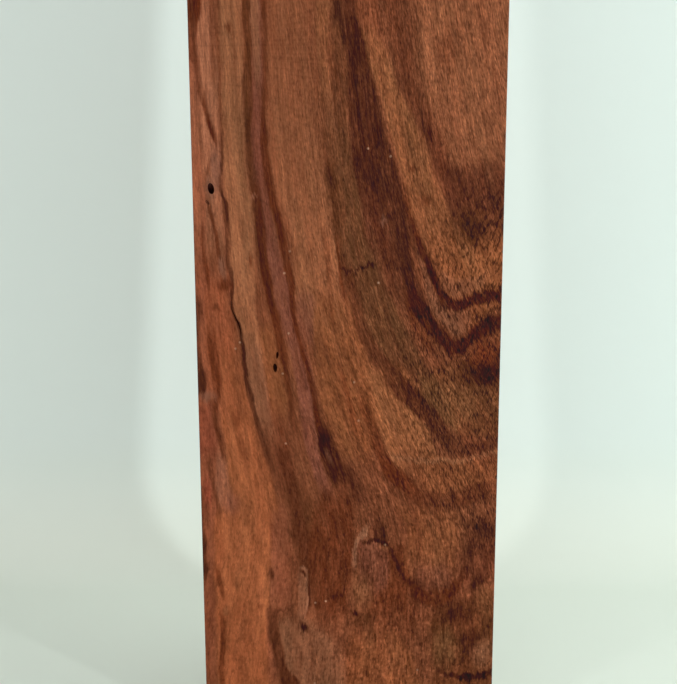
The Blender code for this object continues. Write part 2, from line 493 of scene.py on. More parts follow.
     (73, 3, 12, 0), (67, 2.5, 13, 0.8), (58, 3, 14, 0.8), (50, 3, 12, 0.4), (43, 4, 10, 0)),
    ("greyBrown", 1.5, 6,
     (44, -21, -16, 0), (38, -24.5, -12, 0.8), (30, -23.5, -5, 0.9), (22, -22, -3, 0.9),
     (15, -18, -2, 0.95), (0, -16, -1, 0.95)),
    ("orangeBrown", 3, 4,
     (43, 0, 12, 0), (34, 0, 18, 0.5), (26, -1, 22, 0.7), (15, -1, 25, 0.75), (0, 0, 26, 0.75)),
    ("speckledOrange", 2.5, 4,
     (86, 14, 24, 0), (78, 18, 38, 0.45), (70, 20, 38, 0.5), (60, 20, 36, 0.35), (54, 22, 33, 0.2),
     (48, 24, 31, 0)),
    ("mauveBrown", 3, 3,
     (65, 24, 34, 0), (58, 22, 35, 0.6), (53, 22, 36, 0.7), (48, 23, 36, 0)),
    ("purple", 3, 3,
     (73, 38, 90, 0), (67, 41, 90, 0.8), (60, 40, 90, 0.85), (54, 38, 90, 0.5), (47, 40, 90, 0)),
    ("darkOlive", 4, 4,
     (53, 28, 90, 0), (46, 30, 90, 0.5), (38, 28, 90, 0.85), (30, 28, 90, 0.8), (22, 29, 90, 0.75),
     (0, 30, 90, 0.6)),
    ("darkBrown", 2, 2.5,
     (58, 19, 34, 0), (53, 20, 38, 0.3), (49.5, 20, 41, 0.4), (46, 21, 40, 0.4), (40, 22, 36, 0.2),
     (35, 22, 34, 0)),
    ("darkPurple", 1.3, 1.5,
     (83, 5.5, 9, 0), (78, 6.5, 10.5, 0.6), (74, 8, 12.3, 0.85), (70, 9.2, 13, 0.95), (67.5, 10, 13.5, 0.6),
     (65, 11, 14, 0)),
    ("nearBlack", 0.7, 0.9,
     (70.5, 11, 14, 0), (68, 12, 14, 0.7), (65.5, 13.6, 15.2, 0.9), (63, 14.8, 16.4, 0.85),
     (60, 16, 17.8, 0.8), (56, 17.4, 19.4, 0.6), (50, 19, 21, 0)),
    ("paleRidge", 0.8, 0.8,
     (57, 0.8, 2.3, 0), (61, 0.9, 2.4, 0.7), (66, 1.1, 2.6, 0.85), (69, 2.4, 4.4, 0.85),
     (71.5, 3.8, 6, 0.8), (74, 5, 7.5, 0.5), (78, 6, 8, 0)),
    ("paleRidge", 1.5, 0.8,
     (61, -17.5, -15, 0), (55, -17.4, -14.7, 0.4), (50, -17.4, -14.8, 0.45), (44, -17.8, -14.8, 0.45),
     (40.5, -18.5, -15.5, 0.4), (37, -18, -16, 0)),
    ("paleRidge", 0.4, 0.4,
     (60, -14.9, -14.2, 0), (56, -14.9, -14.1, 0.8), (50, -15.2, -14.4, 0.8), (44, -15.4, -14.6, 0.7),
     (41, -15.5, -14.8, 0)),
    ("nearBlack", 0.5, 0.6,
     (61, -14, -13.4, 0), (56, -14, -13.1, 0.7), (50, -14.3, -13.3, 0.7), (45, -14.5, -13.6, 0.6),
     (41, -14.6, -13.8, 0)),
    ("darkBrown", 2, 2,
     (47, -23, -21, 0), (44.3, -28, -19.5, 0.6), (42.5, -28.6, -25.4, 0.8), (38, -28.6, -25.2, 0.9),
     (33, -28, -24.2, 0.95), (28, -27, -23.2, 0.95), (23, -26, -22.2, 0.95), (19.5, -25, -20, 0.95),
     (16, -24, -17, 1), (0, -19, -12, 0.9)),
    ("maroon", 1, 1.2,
     (47, -45, -43.5, 0), (41, -45.5, -43.5, 0.7), (30, -45.6, -43.6, 0.75), (20, -46, -44, 0.75),
     (0, -46, -44, 0.7)),
    ("maroon", 0.9, 1,
     (63, -45.5, -44.5, 0), (57, -46, -44.2, 0.7), (50, -45, -43.4, 0.7), (45, -44.5, -43, 0)),
    ("maroon", 1, 1.3,
     (305, -60, -47, 0.7), (248, -60, -46.3, 0.9), (243, -60, -46.6, 0.85), (238, -60, -48.2, 0.5),
     (228, -49.4, -47.2, 0.5), (220, -48.2, -46, 0.7), (215, -47.1, -45.2, 0.85), (210, -45.7, -44, 0.9),
     (206, -44.3, -42.8, 0.95), (203, -43.3, -42, 0.9), (200, -44.3, -42.8, 0.7), (196, -46, -44.6, 0.6),
     (191, -46.8, -45.4, 0.5), (186, -47, -45.6, 0)),
    ("redMaroon", 1, 1,
     (305, -43.8, -42.4, 0.5), (248, -43.8, -42.4, 0.5), (228, -43.8, -42.4, 0.5), (216, -43.6, -42.4, 0)),
    ("redMaroon", 0.8, 1,
     (181, -48.6, -47.4, 0), (174, -48.5, -47.2, 0.7), (166, -47.7, -46.4, 0.7), (161, -47.2, -45.7, 0.85),
     (156, -47, -46, 0)),
    ("maroon", 0.7, 0.8,
     (188, -46.6, -45.6, 0), (183, -46, -44.9, 0.7), (175, -44.2, -43, 0.75), (170, -43.2, -42, 0.75),
     (165, -42.9, -41.8, 0.6), (159, -42.8, -42, 0)),
    ("redMaroon", 1.2, 1.2,
     (149, -47, -44.5, 0), (140, -47.2, -44.2, 0.75), (134, -47, -43.5, 0.9), (127, -46, -42.9, 0.85),
     (121, -45, -42.8, 0.8), (115, -45, -43, 0)),
    ("darkPurple", 0.8, 1.5,
     (157, -60, -50, 0), (151, -60, -49.2, 0.8), (140, -60, -49.3, 0.8), (131, -60, -48.8, 0.9),
     (126, -60, -47.8, 1), (122, -60, -48, 0.9), (116, -60, -49.6, 0)),
    ("maroon", 0.9, 1.1,
     (123, -45.2, -44, 0), (118, -45.7, -44.3, 0.75), (112, -46.1, -44.7, 0.75), (106, -44.9, -43.4, 0.8),
     (100, -43.7, -42.2, 0.65), (93, -43, -42, 0)),
    ("warmMaroon", 1, 1.5,
     (122, -60, -46, 0), (115, -60, -46.3, 0.45), (104, -60, -45, 0.45), (95, -60, -46, 0)),
    ("darkBrown", 0.9, 1.2,
     (104, -48.6, -47.2, 0), (98, -48.6, -46.9, 0.8), (92, -47.6, -45.8, 0.8), (85, -46.4, -44.8, 0.7),
     (79, -45.2, -43.8, 0.6), (73, -45, -44, 0)),
    ("darkPurple", 0.8, 1.2,
     (94, -60, -50.4, 0), (86, -60, -50, 0.6), (72, -60, -49.8, 0.6), (67, -60, -48.9, 0.9),
     (63, -60, -49.6, 0.6), (59.5, -60, -48.9, 0.9), (55, -60, -49.8, 0.4), (46, -60, -50, 0)),
    ("darkOlive", 1.2, 1.5,
     (305, -34, -30.6, 0.7), (248, -33.6, -30.4, 0.9), (225, -33.4, -30.8, 0.85), (210, -33.2, -31, 0.75),
     (200, -32.8, -30.8, 0.6), (190, -32, -29.8, 0.3), (184, -31, -29, 0)),
    ("greyTan", 1, 1,
     (305, -30.8, -28.3, 0.6), (248, -30.8, -28.3, 0.7), (228, -30.6, -28.3, 0.6), (216, -30, -28.6, 0)),
    ("maroon", 1, 1.5,
     (196, -31.8, -29.6, 0), (190, -31.6, -29.2, 0.5), (184, -31, -28.6, 0.75), (177, -30.5, -27.6, 0.95),
     (170, -29.7, -26.6, 1), (160, -28.5, -25.4, 1), (150, -26.3, -23.5, 1), (140, -24.4, -22, 0.95),
     (130, -22.6, -20.4, 0.85), (120, -21, -19, 0.7), (110, -19.5, -17.7, 0.5), (101, -17.6, -16, 0)),
    ("maroon", 1, 1.2,
     (305, -27.6, -25.8, 0.5), (248, -27.6, -25.8, 0.6), (225, -27.6, -25.8, 0.6), (212, -28, -26, 0.7),
     (205, -28.4, -26.2, 0.8), (198, -28.2, -25.6, 0.8), (190, -26.9, -24.2, 0.9), (183, -25, -22.6, 0.9),
     (177, -23.9, -21.5, 0.95), (170, -22.6, -20.4, 0.95), (160, -20.6, -18.2, 1), (150, -19.5, -17.5, 0.9),
     (143, -18, -16.3, 0.9), (135, -16.2, -14.7, 0.9), (128, -14.4, -12.8, 0.9), (122, -13, -11.3, 0.9),
     (115, -11.9, -10.2, 0.95), (110, -11.2, -9.4, 0.9), (104, -10.5, -9, 0)),
    ("darkPurple", 0.7, 0.8,
     (211, -42.2, -41.2, 0), (205, -41.3, -40.1, 0.7), (198, -41.5, -40.2, 0.7), (192, -42.6, -41.2, 0.75),
     (188, -42.1, -40.7, 0.85), (184.5, -40.4, -38.9, 0.9), (176, -40.1, -38.7, 0.8),
     (168, -40.2, -38.9, 0.7), (160, -39.4, -38, 0.8), (155, -39.3, -38, 0.9), (152, -39.5, -38.3, 0.95),
     (148, -38.6, -37.3, 0.95), (145, -37.2, -35.8, 0.95), (141, -36.5, -35.2, 0.95),
     (137.8, -36, -34.8, 0.95), (131, -35.6, -34.1, 0.95), (125, -35.2, -33.5, 0.9),
     (118, -33.8, -31.9, 0.85), (112, -32, -30, 0.75), (106, -30.6, -28.6, 0.5), (99, -28.4, -26.4, 0.35),
     (91, -26, -24, 0)),
)

# Streaks that run across it, such as the bottoms of the U bands. Their rows go by x, with the lower
# and upper edge
acrossStreaks = (
    ("speckledOlive", 5, 5,
     (18, 120, 130, 0), (25, 117, 129, 0.7), (35, 108, 131, 0.9), (45, 106, 132, 0.9), (60, 106, 132, 0.9)),
    ("brightArc", 3, 3,
     (18, 86, 98, 0), (24, 87, 98, 0.5), (32, 86, 98.5, 0.8), (38, 87, 98, 0.85), (45, 89, 98, 0.85),
     (60, 90, 99, 0.8)),
    ("orangeBrown", 2, 2,
     (34, 140, 152, 0), (40, 143, 151, 0.7), (45, 146.5, 153, 0.8), (50, 150.5, 155, 0.7),
     (60, 156, 158, 0.5)),
    ("pinkTan", 2, 2,
     (23, 158, 166, 0), (25.5, 153.5, 161, 0.6), (28.5, 148, 155, 0.8), (32.5, 144, 151.5, 0.85),
     (36, 141, 150, 0.8), (40, 143, 150, 0.4), (44, 147, 151, 0)),
    ("pinkTan", 2, 2,
     (27, 159, 163, 0), (31, 156, 162, 0.5), (35, 154, 160, 0.65), (39, 154.7, 160, 0.6),
     (44, 157, 161.5, 0.4), (50, 160, 163, 0)),
    ("deepMaroon", 2, 2,
     (27, 154, 160, 0), (30, 151, 156.5, 0.7), (34, 149.1, 153.5, 1), (38, 149.3, 153.2, 1),
     (42, 151.1, 155.4, 1), (46, 151.8, 156.2, 1), (50, 152.1, 156.8, 1), (60, 154, 158, 0.8)),
    ("deepMaroon", 3, 3,
     (17, 154, 164, 0), (20, 150, 160, 0.6), (23, 146.5, 155, 0.85), (26, 142, 150.5, 0.9),
     (29, 139, 146.5, 0.95), (32, 136, 142.5, 0.95), (35, 134, 140, 1), (38, 134.2, 140, 1),
     (41, 137.5, 143.5, 1), (44, 140, 146, 1), (47, 141.3, 147.3, 0.95), (50, 142, 148.3, 0.95),
     (60, 146, 153, 0.8)),
    ("deepMaroon", 3, 3,
     (32, 126, 132, 0), (38, 125, 133, 0.4), (42, 124, 134, 0.7), (46, 124, 135, 0.85),
     (60, 126, 137, 0.85)),
    ("lightOlive", 4, 5,
     (17, 116, 126, 0), (24, 115, 127, 0.5), (30, 112, 126, 0.75), (36, 109, 124, 0.7), (42, 112, 122, 0.4),
     (48, 112, 120, 0)),
    ("darkBrown", 3, 3,
     (8, 128, 135, 0), (12, 124, 133, 0.7), (16, 120, 129.5, 0.9), (20, 116, 125, 0.95),
     (24, 112, 121, 0.95), (28, 108, 117, 0.95), (32, 103.5, 112.5, 0.9), (36, 99.8, 106, 0.8),
     (42, 98.5, 103.5, 0.7), (50, 100.5, 106.5, 0.7), (60, 105, 111, 0.6)),
    ("maroon", 2.5, 3,
     (10, 99, 104, 0), (13, 93, 99, 0.5), (17, 88, 95, 0.6), (21, 84.5, 91.5, 0.55), (27, 80, 86.5, 0.4),
     (34, 80.5, 86.5, 0.4), (38, 81, 87, 0.5), (43, 83, 89, 0.5), (50, 86, 91, 0.2), (58, 88, 92, 0)),
    ("maroon", 2.5, 2.5,
     (19, 52, 57, 0), (22, 48.5, 54, 0.6), (26, 45.8, 51, 0.8), (30, 44.8, 50, 0.85), (34, 46, 51.5, 0.8),
     (38, 50, 56, 0.7), (41, 56, 62, 0.4), (43, 62, 66, 0)),
    ("tan", 1, 1.2,
     (10, 100.5, 102, 0), (14, 99, 100.7, 0.6), (18, 97.5, 99.3, 0.85), (24, 96.8, 98.8, 0.9),
     (30, 96.6, 98.4, 0.85), (38, 96.8, 98.4, 0.7), (45, 98.3, 99.9, 0.6), (52, 101, 103, 0.6),
     (60, 105, 107, 0.6)),
    ("nearBlack", 0.8, 0.9,
     (4, 67.3, 68.3, 0), (6, 68, 69.4, 0.7), (9, 68.3, 70, 0.8), (12, 67.4, 69.2, 0.9),
     (14.5, 65.8, 67.4, 0)),
    ("nearBlack", 0.9, 1,
     (28, 19.7, 21.5, 0), (32, 19, 21.3, 0.85), (37, 17.7, 19.9, 0.9), (42, 16.8, 19.3, 0.95),
     (46, 17, 19.7, 0.95), (50, 19, 21.3, 0.95), (60, 21, 24, 0.9)),
    ("nearBlack", 0.6, 0.7,
     (-5, 162.7, 163.6, 0), (-2, 162.4, 163.6, 0.7), (2, 161.4, 162.7, 0.8), (5, 162.9, 164.2, 0.8),
     (8, 164, 165.2, 0.7), (11.5, 161.6, 162.6, 0)),
)

# Small marks: tone, middle x and z, half width and half height, lean of the upper end to the right
# in degrees, and how strongly it shows
spots = (
    ("greyLens", -43.1, 197, 1.8, 7.5, 0, 0.95),
    ("greyLens", -44.6, 189.8, 2.4, 4.2, 0, 0.95),
    ("greyLens", -41.5, 164, 1.4, 4, 0, 0.8),
    ("maroon", -41.2, 158, 2.8, 2.8, 0, 0.9),
    ("greyLens", -47.5, 120.4, 3, 2.1, 0, 0.8),
    ("warmMaroon", -48.4, 86, 1.7, 7, 0, 0.9),
    ("lightTan", -43.2, 43.4, 1.2, 1.6, 0, 0.8),
    ("maroon", -38, 240, 1.2, 1.8, 0, 0.7),
    ("maroon", -48.8, 245.6, 2, 3, 0, 0.6),
    ("greyPink", -31, 186.6, 1.3, 0.9, 0, 0.9),
    ("darkRed", -44, 150.4, 1.5, 1.5, 0, 0.7),
    ("redMaroon", -38, 112, 1.8, 4, 0, 0.5),
    ("redMaroon", -36.2, 102, 2, 7, -12, 0.5),
    ("redMaroon", -32.2, 165.5, 0.8, 3.2, 0, 0.7),
    ("redMaroon", -23, 108, 0.8, 2, -12, 0.8),
    ("redMaroon", -21.9, 103.6, 0.7, 1.8, -12, 0.8),
    ("nearBlack", 7.6, 164.2, 1.4, 1.4, 0, 0.6),
    ("nearBlack", 13, 179.8, 2.2, 1.2, 0, 0.7),
    ("greyLens", 11.3, 178.6, 1.8, 1.8, 0, 0.6),
    ("darkPurple", -4.5, 243, 1.6, 3, 0, 0.6),
    ("darkPurple", -6, 193.5, 1.4, 4.5, -12, 0.7),
    ("nearBlack", 26.2, 206, 1.3, 4, -19, 0.7),
    ("maroon", 21, 195, 2, 1.4, 0, 0.7),
    ("maroon", 25, 185.5, 2.6, 2.6, 0, 0.6),
    ("maroon", 31.5, 232, 4, 6, 0, 0.45),
    ("greyLens", -6.7, 98.6, 1, 3.6, -22, 0.3),
    ("nearBlack", -5, 48.6, 2.4, 1.8, 0, 0.7),
    ("lightTan", 4.6, 50.5, 4.2, 7, 0, 0.6),
    ("nearBlack", 1.8, 42.4, 1.5, 1.2, 0, 0.9),
    ("darkOlive", 4.5, 39.6, 5, 2.8, 0, 0.6),
    ("nearBlack", -15.6, 37, 3.2, 1.3, 50, 0.9),
    ("nearBlack", -15.4, 56.8, 1.3, 1, 0, 0.8),
    ("paleRidge", -15.8, 58.8, 1.5, 0.9, 0, 0.7),
    ("nearBlack", 15.8, 37.4, 1.4, 1, 0, 0.7),
    ("lightTan", 12, 66.4, 2, 1, 0, 0.6),
    ("nearBlack", -26.6, 57, 0.9, 2.4, -6, 0.8),
    ("maroon", -31.4, 45, 0.8, 1.3, 0, 0.7),
    ("mauve", -40, 82.5, 3.2, 4.5, 0, 0.6),
    ("redMaroon", 47, 134.5, 7, 6, 0, 0.9),
    ("nearBlack", 46.5, 127.4, 5, 4.2, 0, 0.85),
    ("darkPurple", 46, 73, 6, 4, 0, 0.95),
    ("darkPurple", 40.8, 62, 2.6, 9, 14, 0.7),
    ("nearBlack", 44.6, 53.4, 2.2, 3.4, 31, 0.85),
    ("nearBlack", 37.8, 40.8, 5, 3.4, 0, 0.75),
    ("nearBlack", 43, 31, 3.2, 6.5, 0, 0.6),
    ("lightOlive", 34.2, 29, 5, 8, 0, 0.85),
    ("darkBrown", 35.6, 26, 3, 4.4, 0, 0.7),
    ("lightOlive", 36, 26, 1.6, 2.8, 0, 0.7),
    ("greyBrown", 47, 27, 4.4, 5.6, 0, 0.8),
    ("speckledOlive", 47.5, 47, 4, 6.5, 0, 0.8),
    ("darkOlive", 40.2, 177, 8.4, 7.4, 0, 1),
    ("nearBlack", 41.5, 175.5, 3.6, 3.4, 0, 0.25),
)

# How the fibres lean: rows of z in mm, how close they stand, and how far they have moved in mm
fibreFlow = (
    (0, 0.6, -0.2), (30, 0.61, -0.6), (60, 0.66, -1.1), (75, 0.69, -0.5), (90, 0.74, 2.0), (105, 0.8, 5.8),
    (120, 0.86, 9.9), (135, 0.93, 14.2), (150, 1.0, 18.4), (165, 1.06, 22.3), (180, 1.12, 25.6),
    (210, 1.21, 31.1), (225, 1.26, 33.1), (240, 1.3, 35.6), (305, 1.4, 46),
)

# How the edges of the figure go astray: width and length of a swing in mm, and its full reach in mm.
# The edges break into needles along the fibres, and wander a little as well
needles = {"size": (10 / 13, 100 / 11), "detail": 3, "roughness": 0.6, "seed": 0, "reachX": 1.6,
           "reachZ": 6.0}
wander = {"size": (5, 100 / 9), "detail": 3, "roughness": 0.6, "seed": 0, "reachX": 2.4}
noiseMiddle = 0.5  # so that neither moves the figure as a whole

# Layers of noise: width and length of a mark in mm, and what part of the noise becomes what value.
# usualNoise holds where a layer doesn't say. Pores and fibres are 0.1 to 0.2 mm wide in the wood, too
# fine to show in the render, so they, the relief and the painted highlight of glints off the fibres
# are drawn about 0.4 mm wide.
# Patches let more or less of the figure's tones through, and hues make some fibres redder
usualNoise = {"detail": 2, "roughness": 0.5, "from": (0.3, 0.7)}
patches = {"size": (20 / 11, 100 / 7), "detail": 4, "roughness": 0.65, "from": (0.3, 0.6), "to": (0.6, 1.15),
           "seed": 5}
hues = {"size": (5, 100 / 3), "detail": 4, "roughness": 0.6, "from": (0.25, 0.75), "to": (0, 1), "seed": 17}
hueTints = {"redder": (1.07, 0.965, 0.95, 1), "moreOlive": (0.98, 0.985, 0.98, 1)}
broadGrain = {
    "growthLines": {"along": "rings", "size": (7, 60), "detail": 3, "to": (0.87, 1.15), "seed": 3},
    "broadStreaks": {"size": (3.2, 80), "to": (0.9, 1.12), "seed": 3},
    "streaks": {"size": (1.3, 22), "to": (0.9, 1.12), "seed": 11},
}
fineGrainAndGlints = {
    "fibres": {"size": (0.5, 4), "to": (0.72, 1.28), "seed": 23},
    "clouds": {"size": (3.5, 5), "to": (0.9, 1.1), "seed": 91},
    "mottle": {"size": (0.8, 1.3), "to": (0.8, 1.2), "seed": 77},
    "pores": {"size": (0.4, 2.0), "detail": 1, "from": (0.54, 0.68), "to": (1, 0.6), "seed": 31},
    # glints: painted highlights, light caught off the fibres, made brighter in the colour
    "paintedGlints": {"size": (0.4, 1.5), "detail": 1, "from": (0.56, 0.7), "to": (1, 1.45), "seed": 47},
}
dashes = {"size": (0.75, 2.6), "detail": 2, "from": (0.5, 0.62), "to": (0, 0.6), "seed": 59}
# Where the dashes lie thick, in mm: an oval, between which parts of its half size they thin out, and
# how much of them is left outside. They turn round a middle there, by so much more for each mm
dashed = {"x": 50, "z": 125, "halfWidth": 36, "halfHeight": 72, "fade": (0.7, 1.1), "least": 0.15,
          "turnX": 32, "turnZ": 150, "turn": 0.012}
relief = {"size": (0.35, 3), "detail": 1, "from": (0.35, 0.5), "to": (0, 1), "seed": 5, "depth": 0.03 * mm}

# Pale specks, in mm, where a filled vessel shows end on
specks = (
    (-19.3, 169), (-21.2, 161.8), (-20, 141.7), (-36.3, 138.7), (-37.8, 136.6), (-22.2, 128), (9.8, 158.5),
    (1.8, 125), (3.3, 111.7), (-21.4, 103.8), (-11.8, 46.2), (-8.1, 46.8), (24.2, 20.8), (-12.2, 15.8),
    (12.5, 67.5), (6.3, 202), (13.6, 199.5),
)
speck = {"tone": "b08a72", "core": 0.2, "size": 0.55, "strength": 0.55}

calm = {"from": -30, "to": 12, "least": 0.5}  # x in mm, and what is left of the grain's contrast
markBlur = (0.25, 1.35)  # a mark fades between these parts of its half size
markDepth = 3  # how deep a mark goes into the board, in its half widths
# Roughness of the wood and of its pores, how much painted shade darkens the flaws, and how much
# darker the sawn ends are
surface = {"roughness": (0.6, 0.48), "specular": 0.15, "hollowShadeDarker": 0.85, "sawnDarker": 0.28}
veil = (0.013, 0.0135, 0.012)  # what the satin surface adds to the colour of the wood
# The stem's pith behind the front, in mm: how near, how much further at the foot than at its nearest
# level, and how much higher a ring that is a millimetre smaller meets the front
heart = {"x": 38, "near": 34, "leave": 52, "level": 250, "rise": 1.3}
rings = {"top": 248, "inner": 20, "narrow": 0.47, "soft": 20}  # mm, and width for height
middleZ = 152.4  # mm, half way up the board
curveUnit = 160  # mm for 1 on a curve node, whose range is -1 to 1
spreadUnit = 2  # the same for how close the fibres stand
curveMargin = 3 / curveUnit
smooth = {"interpolation_type": "SMOOTHSTEP", "clamp": False}  # for a Map Range that eases in and out


def fillCurves(node, columns):
    # a curve is kept as a coarse table, so it goes on level a little past its last points
    for curve, points in zip(node.mapping.curves, columns):
        curve.points[0].location = (points[0][0] - curveMargin, points[0][1])
        curve.points[1].location = (points[-1][0] + curveMargin, points[-1][1])
        for at, value in points:
            curve.points.new(at, value)
        for point in curve.points:
            point.handle_type = "AUTO_CLAMPED"
    node.mapping.extend = "HORIZONTAL"
    node.mapping.update()


def noiseLayer(add, layer, place):
    width, length = layer["size"]
    perMm = (1 / width, 1 / width, 1 / length)
    if layer.get("along") == "rings":
        perMm = (1 / width, 1 / length, 1 / length)
    scaled = add("VectorMath", [place, perMm, (layer["seed"], 0, 0)], operation="MULTIPLY_ADD")
    noise = {**usualNoise, **layer}
    settings = {"Scale": 1, "Detail": noise["detail"], "Roughness": noise["roughness"]}
    return add("TexNoise", {"Vector": scaled, **settings})


def grainLayer(add, layer, place):
    noise = noiseLayer(add, layer, place)
    return add("MapRange", [noise, *layer.get("from", usualNoise["from"]), *layer["to"]], **smooth)


def grainValue(add, layers, fibrePlace, ringPlace):  # how bright all of the layers leave the wood
    value = None
    for layer in layers.values():
        part = grainLayer(add, layer, ringPlace if layer.get("along") == "rings" else fibrePlace)
        value = part if value is None else add("Math", [value, part], operation="MULTIPLY")
    return value


def streakGroup():
    # how strongly a streak shows: 1 between its two edges, blurred at each, times its strength
    tree = bpy.data.node_groups.new("streak", "ShaderNodeTree")
    add = partial(addNode, tree)
    for name in ("Across", "Edges", "Sharpness"):
        tree.interface.new_socket(name, in_out="INPUT", socket_type="NodeSocketVector")
    tree.interface.new_socket("Fray", in_out="INPUT", socket_type="NodeSocketFloat")
    tree.interface.new_socket("Mask", in_out="OUTPUT", socket_type="NodeSocketFloat")
    given = add("NodeGroupInput").outputs
    beyond = add("VectorMath", [given["Across"], given["Edges"]], operation="SUBTRACT")
    ramped = add("VectorMath", [beyond, given["Sharpness"]], operation="MULTIPLY")
    low, high = (-0.5, -0.5, -0.5), (0.5, 0.5, 0.5)
    corners = {7: low, 8: high, 9: low, 10: high}  # from and to, each low and high
    eased = add("MapRange", {"Vector": ramped, **corners}, data_type="FLOAT_VECTOR", **smooth)
    inside = add("VectorMath", [eased.outputs["Vector"], (1, 1, 0)], operation="DOT_PRODUCT")
    strength = add("VectorMath", [given["Edges"], (0, 0, 1)], operation="DOT_PRODUCT")
    both = [inside.outputs["Value"], strength.outputs["Value"]]
    shown = add("Math", both, operation="MULTIPLY")
    frayed = add("Math", [shown, given["Fray"]], operation="MULTIPLY")
    add("NodeGroupOutput", [frayed])
    return tree


def followRings(add, x, y, z):
    # each growth ring carries the front's figure into the board: faceX and faceZ are where the ring
    # through this place meets the front, worked out from circles round a pith that lies behind the
    # front. A ring too small to meet it at this height meets it further up, in line with the pith
    depth = add("Math", [y, boardHigh.y / mm], operation="ADD")
    below = add("Math", [z, -1 / heart["level"], 1], operation="MULTIPLY_ADD")
    belowSquare = add("Math", [below, below], operation="MULTIPLY")
    leave, near = 2 * heart["leave"], 2 * heart["near"]
    pith = add("Math", [belowSquare, leave, near], operation="MULTIPLY_ADD")
    chord = add("Math", [pith, depth], operation="SUBTRACT")
    away = add("Math", [heart["x"], x], operation="SUBTRACT")
    awaySquare = add("Math", [away, away], operation="MULTIPLY")
    taken = add("Math", [depth, chord], operation="MULTIPLY")
    square = add("Math", [awaySquare, taken], operation="SUBTRACT")
    squareSize = add("Math", [square], operation="ABSOLUTE")
    root = add("Math", [squareSize], operation="SQRT")
    meets = add("Math", [square, 0], operation="GREATER_THAN")
    aside = add("Math", [root, meets], operation="MULTIPLY")
    within = add("Math", [root, aside], operation="SUBTRACT")
    side = add("Math", [away], operation="SIGN")
    fromHeart = add("Math", [aside, side], operation="MULTIPLY")
    faceX = add("Math", [heart["x"], fromHeart], operation="SUBTRACT")
    faceZ = add("Math", [within, heart["rise"], z], operation="MULTIPLY_ADD")

    # growth lines follow the figure: ovals round a place on the front near its top right. ring is
    # how far below that place the line through here crosses its middle
    asideSquare = add("Math", [fromHeart, fromHeart], operation="MULTIPLY")
    asideSoft = add("Math", [asideSquare, rings["soft"] ** 2], operation="ADD")
    asideShare = add("Math", [asideSquare, asideSoft], operation="DIVIDE")
    asideFull = add("Math", [asideShare, rings["inner"], aside], operation="MULTIPLY_ADD")
    ringX = add("Math", [asideFull, rings["narrow"]], operation="DIVIDE")
    ringZ = add("Math", [rings["top"], faceZ], operation="SUBTRACT")
    ringXx = add("Math", [ringX, ringX], operation="MULTIPLY")
    ringSquare = add("Math", [ringZ, ringZ, ringXx], operation="MULTIPLY_ADD")
    ring = add("Math", [ringSquare], operation="SQRT")
    ringPlace = add("CombineXYZ", [ring, x, z])
    return depth, faceX, faceZ, ringPlace


def followFibres(add, x, y, z):
    # the fibres lean to the right on their way down, and stand upright near the foot
    level = add("Math", [z, 1 / curveUnit, -middleZ / curveUnit], operation="MULTIPLY_ADD")
    levels = add("CombineXYZ", [level, level, level])
    flow = add("VectorCurve", {"Vector": levels})
    heights = [(row[0] - middleZ) / curveUnit for row in fibreFlow]
    fillCurves(flow, (
        [(at, row[1] / spreadUnit) for at, row in zip(heights, fibreFlow)],
        [(at, row[2] / curveUnit) for at, row in zip(heights, fibreFlow)],
    ))
    flowParts = add("SeparateXYZ", [flow])
    spread = add("Math", [flowParts.outputs[0], spreadUnit], operation="MULTIPLY")
    shift = add("Math", [flowParts.outputs[1], curveUnit], operation="MULTIPLY")
    fibreX = add("Math", [x, spread, shift], operation="MULTIPLY_ADD")
    return add("CombineXYZ", [fibreX, y, z])


def figurePlaces(add, placeMm, fibrePlace, faceX, faceZ):
    # each fibre changes colour at its own height, so an edge that crosses the fibres breaks into
    # needles along them; the streaks wander a little as well
    needle = noiseLayer(add, needles, fibrePlace)
    swing = noiseLayer(add, wander, placeMm)
    wanderX = add("Math", [swing, wander["reachX"], faceX], operation="MULTIPLY_ADD")
    needleX = add("Math", [needle, -needles["reachX"], wanderX], operation="MULTIPLY_ADD")
    centreX = (wander["reachX"] - needles["reachX"]) * noiseMiddle
    figureX = add("Math", [needleX, centreX], operation="SUBTRACT")
    needleZ = add("Math", [needle, needles["reachZ"], faceZ], operation="MULTIPLY_ADD")
    centreZ = needles["reachZ"] * noiseMiddle
    figureZ = add("Math", [needleZ, centreZ], operation="SUBTRACT")
    return figureX, figureZ


def streakTones(add, shown, rowX, rowZ, fray):
    group = streakGroup()
    for streaks, along, across, middleAlong, middleAcross in (
        (downStreaks, rowZ, rowX, middleZ, 0),
        (acrossStreaks, rowX, rowZ, 0, middleZ),
    ):
        for tone, blurLow, blurHigh, *rows in streaks:
            curve = add("VectorCurve", {"Vector": along})
            rows = [((row[0] - middleAlong) / curveUnit, *row[1:]) for row in sorted(rows)]
            fillCurves(curve, (
                [(at, (low - middleAcross) / curveUnit) for at, low, high, strength in rows],
                [(at, (high - middleAcross) / curveUnit) for at, low, high, strength in rows],
                [(at, strength) for at, low, high, strength in rows],
            ))
            sharpness = (curveUnit / blurLow, -curveUnit / blurHigh, 0)
            inputs = {"Across": across, "Edges": curve, "Fray": fray, "Sharpness": sharpness}
            streak = add("Group", inputs, node_tree=group)
            mixed = {mixShare: streak, mixBelow: shown, mixAbove: hexColour(tones[tone])}
            shown = add("Mix", mixed, data_type="RGBA").outputs[mixResult]
    return shown


